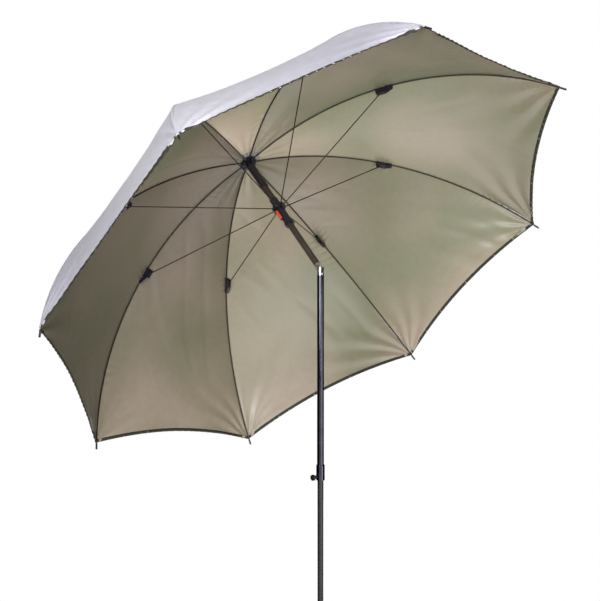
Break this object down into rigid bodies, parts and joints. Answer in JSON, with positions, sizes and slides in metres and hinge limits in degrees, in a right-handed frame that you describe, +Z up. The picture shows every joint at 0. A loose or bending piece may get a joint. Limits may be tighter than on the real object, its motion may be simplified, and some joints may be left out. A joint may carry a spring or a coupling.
{
  "type": "tilting fishing umbrella",
  "caption": "Large round canopy on curved ribs with stretchers, sliding runner and tilt joint, on a telescopic pole with a clamp screw and a ground spike.",
  "frame": {"origin": "where the pole's axis meets the ground, at the spike's shoulder", "axes": "+Z up along the pole, the canopy leans towards +Y, the tilt pin lies along X"},
  "size_m": [2.0856, 1.5032, 2.3921],
  "materials": {
    "spike_steel": "black painted steel",
    "lower_pole_paint": "dark green-black enamel",
    "upper_pole_paint": "glossy gunmetal enamel",
    "shaft_paint": "satin brown-black enamel",
    "white_nylon": "moulded nylon",
    "nickel_screw": "nickel-plated steel",
    "knuckle_alloy": "polished die-cast alloy",
    "acetal": "acetal friction washer",
    "black_nylon": "glossy black moulded nylon",
    "spring_wire": "bright steel wire",
    "canopy_fabric": "coated nylon taffeta, olive inside and silver-lavender outside",
    "orange_plastic": "moulded orange plastic",
    "rib_rod": "dark fibreglass rod",
    "stretcher_wire": "dark enamelled steel wire"
  },
  "bodies": {
    "base": {"ground_spike": "spike_steel"},
    "foot_pole": {"lower_pole": "lower_pole_paint", "guide_bush": "white_nylon"},
    "pole": {"upper_pole": "upper_pole_paint", "clamp_collar": "upper_pole_paint", "tilt_fork": "knuckle_alloy", "tilt_pin": "knuckle_alloy", "tilt_washers": "acetal"},
    "clamp_screw": {"clamp_screw": "nickel_screw"},
    "clamp_knob": {"clamp_knob": "nickel_screw"},
    "shaft": {"shaft": "shaft_paint", "tilt_tongue": "knuckle_alloy", "crown": "black_nylon", "crown_wire": "spring_wire", "fabric_washer": "canopy_fabric", "top_cap": "black_nylon"},
    "runner": {"runner": "black_nylon", "runner_wire": "spring_wire", "trigger_spring": "spring_wire"},
    "trigger": {"trigger": "orange_plastic"},
    "rib_a": {"rib_a": "rib_rod", "clip_a": "black_nylon", "tip_a": "black_nylon"},
    "rib_b": {"rib_b": "rib_rod", "clip_b": "black_nylon", "tip_b": "black_nylon"},
    "rib_c": {"rib_c": "rib_rod", "clip_c": "black_nylon", "tip_c": "black_nylon"},
    "rib_d": {"rib_d": "rib_rod", "clip_d": "black_nylon", "tip_d": "black_nylon"},
    "rib_e": {"rib_e": "rib_rod", "clip_e": "black_nylon", "tip_e": "black_nylon"},
    "rib_f": {"rib_f": "rib_rod", "clip_f": "black_nylon", "tip_f": "black_nylon"},
    "rib_g": {"rib_g": "rib_rod", "clip_g": "black_nylon", "tip_g": "black_nylon"},
    "rib_h": {"rib_h": "rib_rod", "clip_h": "black_nylon", "tip_h": "black_nylon"},
    "gore_a": {"gore_a": "canopy_fabric"},
    "gore_b": {"gore_b": "canopy_fabric"},
    "gore_c": {"gore_c": "canopy_fabric"},
    "gore_d": {"gore_d": "canopy_fabric"},
    "gore_e": {"gore_e": "canopy_fabric"},
    "gore_f": {"gore_f": "canopy_fabric"},
    "gore_g": {"gore_g": "canopy_fabric"},
    "gore_h": {"gore_h": "canopy_fabric"},
    "stretcher_a": {"stretcher_a": "stretcher_wire"},
    "stretcher_b": {"stretcher_b": "stretcher_wire"},
    "stretcher_c": {"stretcher_c": "stretcher_wire"},
    "stretcher_d": {"stretcher_d": "stretcher_wire"},
    "stretcher_e": {"stretcher_e": "stretcher_wire"},
    "stretcher_f": {"stretcher_f": "stretcher_wire"},
    "stretcher_g": {"stretcher_g": "stretcher_wire"},
    "stretcher_h": {"stretcher_h": "stretcher_wire"}
  },
  "joints": [
    {"name": "pole_swivel", "type": "hinge", "parent": "base", "child": "foot_pole", "pos_m": [0, 0, 0.03], "axis": [0, 0, 1], "continuous": true},
    {"name": "pole_slide", "type": "slide", "parent": "foot_pole", "child": "pole", "axis": [0, 0, 1], "range_m": [-0.49, 0.1]},
    {"name": "clamp_travel", "type": "slide", "parent": "pole", "child": "clamp_screw", "axis": [-1, 0, 0], "range_m": [0, 0.0025]},
    {"name": "clamp_turn", "type": "hinge", "parent": "clamp_screw", "child": "clamp_knob", "pos_m": [-0.036, 0, 0.646], "axis": [-1, 0, 0], "range_deg": [0, 721]},
    {"name": "tilt", "type": "hinge", "parent": "pole", "child": "shaft", "pos_m": [0, 0, 1.4], "axis": [-1, 0, 0], "range_deg": [-46.7, 23.3]},
    {"name": "runner_slide", "type": "slide", "parent": "shaft", "child": "runner", "axis": [0, -0.7278, -0.6858], "range_m": [0, 0.195]},
    {"name": "trigger_press", "type": "slide", "parent": "runner", "child": "trigger", "axis": [0.9903, -0.0954, 0.1013], "range_m": [0, 0.0025], "stiffness_N_per_m": 600, "deforming": ["trigger_spring"]},
    {"name": "rib_a_fold", "type": "hinge", "parent": "shaft", "child": "rib_a", "pos_m": [0.0142, 0.40426, 1.81088], "axis": [0.8377, 0.3745, -0.3974], "range_deg": [0, 10.74]},
    {"name": "rib_b_fold", "type": "hinge", "parent": "shaft", "child": "rib_b", "pos_m": [0.02544, 0.41552, 1.79893], "axis": [0.2062, 0.6711, -0.7121], "range_deg": [0, 10.74]},
    {"name": "rib_c_fold", "type": "hinge", "parent": "shaft", "child": "rib_c", "pos_m": [0.02178, 0.42894, 1.7847], "axis": [-0.5461, 0.5745, -0.6097], "range_deg": [0, 10.74]},
    {"name": "rib_d_fold", "type": "hinge", "parent": "shaft", "child": "rib_d", "pos_m": [0.00536, 0.43665, 1.77652], "axis": [-0.9785, 0.1414, -0.1501], "range_deg": [0, 10.74]},
    {"name": "rib_e_fold", "type": "hinge", "parent": "shaft", "child": "rib_e", "pos_m": [-0.0142, 0.43413, 1.77918], "axis": [-0.8377, -0.3745, 0.3974], "range_deg": [0, 10.74]},
    {"name": "rib_f_fold", "type": "hinge", "parent": "shaft", "child": "rib_f", "pos_m": [-0.02544, 0.42287, 1.79113], "axis": [-0.2062, -0.6711, 0.7121], "range_deg": [0, 10.74]},
    {"name": "rib_g_fold", "type": "hinge", "parent": "shaft", "child": "rib_g", "pos_m": [-0.02178, 0.40946, 1.80537], "axis": [0.5461, -0.5745, 0.6097], "range_deg": [0, 10.74]},
    {"name": "rib_h_fold", "type": "hinge", "parent": "shaft", "child": "rib_h", "pos_m": [-0.00536, 0.40175, 1.81355], "axis": [0.9785, -0.1414, 0.1501], "range_deg": [0, 10.74]},
    {"name": "gore_a_fold", "type": "hinge", "parent": "shaft", "child": "gore_a", "pos_m": [0.01982, 0.40989, 1.80491], "axis": [0.565, 0.5659, -0.6005], "range_deg": [0, 11.2], "deforming": ["gore_a"]},
    {"name": "gore_b_fold", "type": "hinge", "parent": "shaft", "child": "gore_b", "pos_m": [0.02361, 0.42223, 1.79182], "axis": [-0.184, 0.6741, -0.7154], "range_deg": [0, 11.2], "deforming": ["gore_b"]},
    {"name": "gore_c_fold", "type": "hinge", "parent": "shaft", "child": "gore_c", "pos_m": [0.01357, 0.43279, 1.78061], "axis": [-0.8251, 0.3875, -0.4112], "range_deg": [0, 11.2], "deforming": ["gore_c"]},
    {"name": "gore_d_fold", "type": "hinge", "parent": "shaft", "child": "gore_d", "pos_m": [-0.00442, 0.43539, 1.77785], "axis": [-0.9829, -0.1262, 0.1339], "range_deg": [0, 11.2], "deforming": ["gore_d"]},
    {"name": "gore_e_fold", "type": "hinge", "parent": "shaft", "child": "gore_e", "pos_m": [-0.01982, 0.4285, 1.78516], "axis": [-0.565, -0.5659, 0.6005], "range_deg": [0, 11.2], "deforming": ["gore_e"]},
    {"name": "gore_f_fold", "type": "hinge", "parent": "shaft", "child": "gore_f", "pos_m": [-0.02361, 0.41617, 1.79825], "axis": [0.184, -0.6741, 0.7154], "range_deg": [0, 11.2], "deforming": ["gore_f"]},
    {"name": "gore_g_fold", "type": "hinge", "parent": "shaft", "child": "gore_g", "pos_m": [-0.01357, 0.4056, 1.80946], "axis": [0.8251, -0.3875, 0.4112], "range_deg": [0, 11.2], "deforming": ["gore_g"]},
    {"name": "gore_h_fold", "type": "hinge", "parent": "shaft", "child": "gore_h", "pos_m": [0.00442, 0.403, 1.81221], "axis": [0.9829, 0.1262, -0.1339], "range_deg": [0, 11.2], "deforming": ["gore_h"]},
    {"name": "stretcher_a_turn", "type": "hinge", "parent": "runner", "child": "stretcher_a", "pos_m": [0.01147, 0.22155, 1.63295], "axis": [-0.8377, -0.3745, 0.3974], "range_deg": [0, 10.56]},
    {"name": "stretcher_b_turn", "type": "hinge", "parent": "runner", "child": "stretcher_b", "pos_m": [0.02055, 0.23064, 1.6233], "axis": [-0.2062, -0.6711, 0.7121], "range_deg": [0, 10.56]},
    {"name": "stretcher_c_turn", "type": "hinge", "parent": "runner", "child": "stretcher_c", "pos_m": [0.01759, 0.24148, 1.6118], "axis": [0.5461, -0.5745, 0.6097], "range_deg": [0, 10.56]},
    {"name": "stretcher_d_turn", "type": "hinge", "parent": "runner", "child": "stretcher_d", "pos_m": [0.00433, 0.24771, 1.60519], "axis": [0.9785, -0.1414, 0.1501], "range_deg": [0, 10.56]},
    {"name": "stretcher_e_turn", "type": "hinge", "parent": "runner", "child": "stretcher_e", "pos_m": [-0.01147, 0.24568, 1.60735], "axis": [0.8377, 0.3745, -0.3974], "range_deg": [0, 10.56]},
    {"name": "stretcher_f_turn", "type": "hinge", "parent": "runner", "child": "stretcher_f", "pos_m": [-0.02055, 0.23658, 1.617], "axis": [0.2062, 0.6711, -0.7121], "range_deg": [0, 10.56]},
    {"name": "stretcher_g_turn", "type": "hinge", "parent": "runner", "child": "stretcher_g", "pos_m": [-0.01759, 0.22575, 1.62849], "axis": [-0.5461, 0.5745, -0.6097], "range_deg": [0, 10.56]},
    {"name": "stretcher_h_turn", "type": "hinge", "parent": "runner", "child": "stretcher_h", "pos_m": [-0.00433, 0.21952, 1.6351], "axis": [-0.9785, 0.1414, -0.1501], "range_deg": [0, 10.56]}
  ],
  "couplings": [
    {"joint": "clamp_turn", "follows": "clamp_travel", "rad_per_m": 5026.5},
    {"joint": "rib_a_fold", "follows": "runner_slide", "rad_per_m": 0.95964},
    {"joint": "rib_b_fold", "follows": "runner_slide", "rad_per_m": 0.95964},
    {"joint": "rib_c_fold", "follows": "runner_slide", "rad_per_m": 0.95964},
    {"joint": "rib_d_fold", "follows": "runner_slide", "rad_per_m": 0.95964},
    {"joint": "rib_e_fold", "follows": "runner_slide", "rad_per_m": 0.95964},
    {"joint": "rib_f_fold", "follows": "runner_slide", "rad_per_m": 0.95964},
    {"joint": "rib_g_fold", "follows": "runner_slide", "rad_per_m": 0.95964},
    {"joint": "rib_h_fold", "follows": "runner_slide", "rad_per_m": 0.95964},
    {"joint": "gore_a_fold", "follows": "runner_slide", "rad_per_m": 1.0004},
    {"joint": "gore_b_fold", "follows": "runner_slide", "rad_per_m": 1.0004},
    {"joint": "gore_c_fold", "follows": "runner_slide", "rad_per_m": 1.0004},
    {"joint": "gore_d_fold", "follows": "runner_slide", "rad_per_m": 1.0004},
    {"joint": "gore_e_fold", "follows": "runner_slide", "rad_per_m": 1.0004},
    {"joint": "gore_f_fold", "follows": "runner_slide", "rad_per_m": 1.0004},
    {"joint": "gore_g_fold", "follows": "runner_slide", "rad_per_m": 1.0004},
    {"joint": "gore_h_fold", "follows": "runner_slide", "rad_per_m": 1.0004},
    {"joint": "stretcher_a_turn", "follows": "runner_slide", "rad_per_m": 0.9435},
    {"joint": "stretcher_b_turn", "follows": "runner_slide", "rad_per_m": 0.9435},
    {"joint": "stretcher_c_turn", "follows": "runner_slide", "rad_per_m": 0.9435},
    {"joint": "stretcher_d_turn", "follows": "runner_slide", "rad_per_m": 0.9435},
    {"joint": "stretcher_e_turn", "follows": "runner_slide", "rad_per_m": 0.9435},
    {"joint": "stretcher_f_turn", "follows": "runner_slide", "rad_per_m": 0.9435},
    {"joint": "stretcher_g_turn", "follows": "runner_slide", "rad_per_m": 0.9435},
    {"joint": "stretcher_h_turn", "follows": "runner_slide", "rad_per_m": 0.9435}
  ]
}
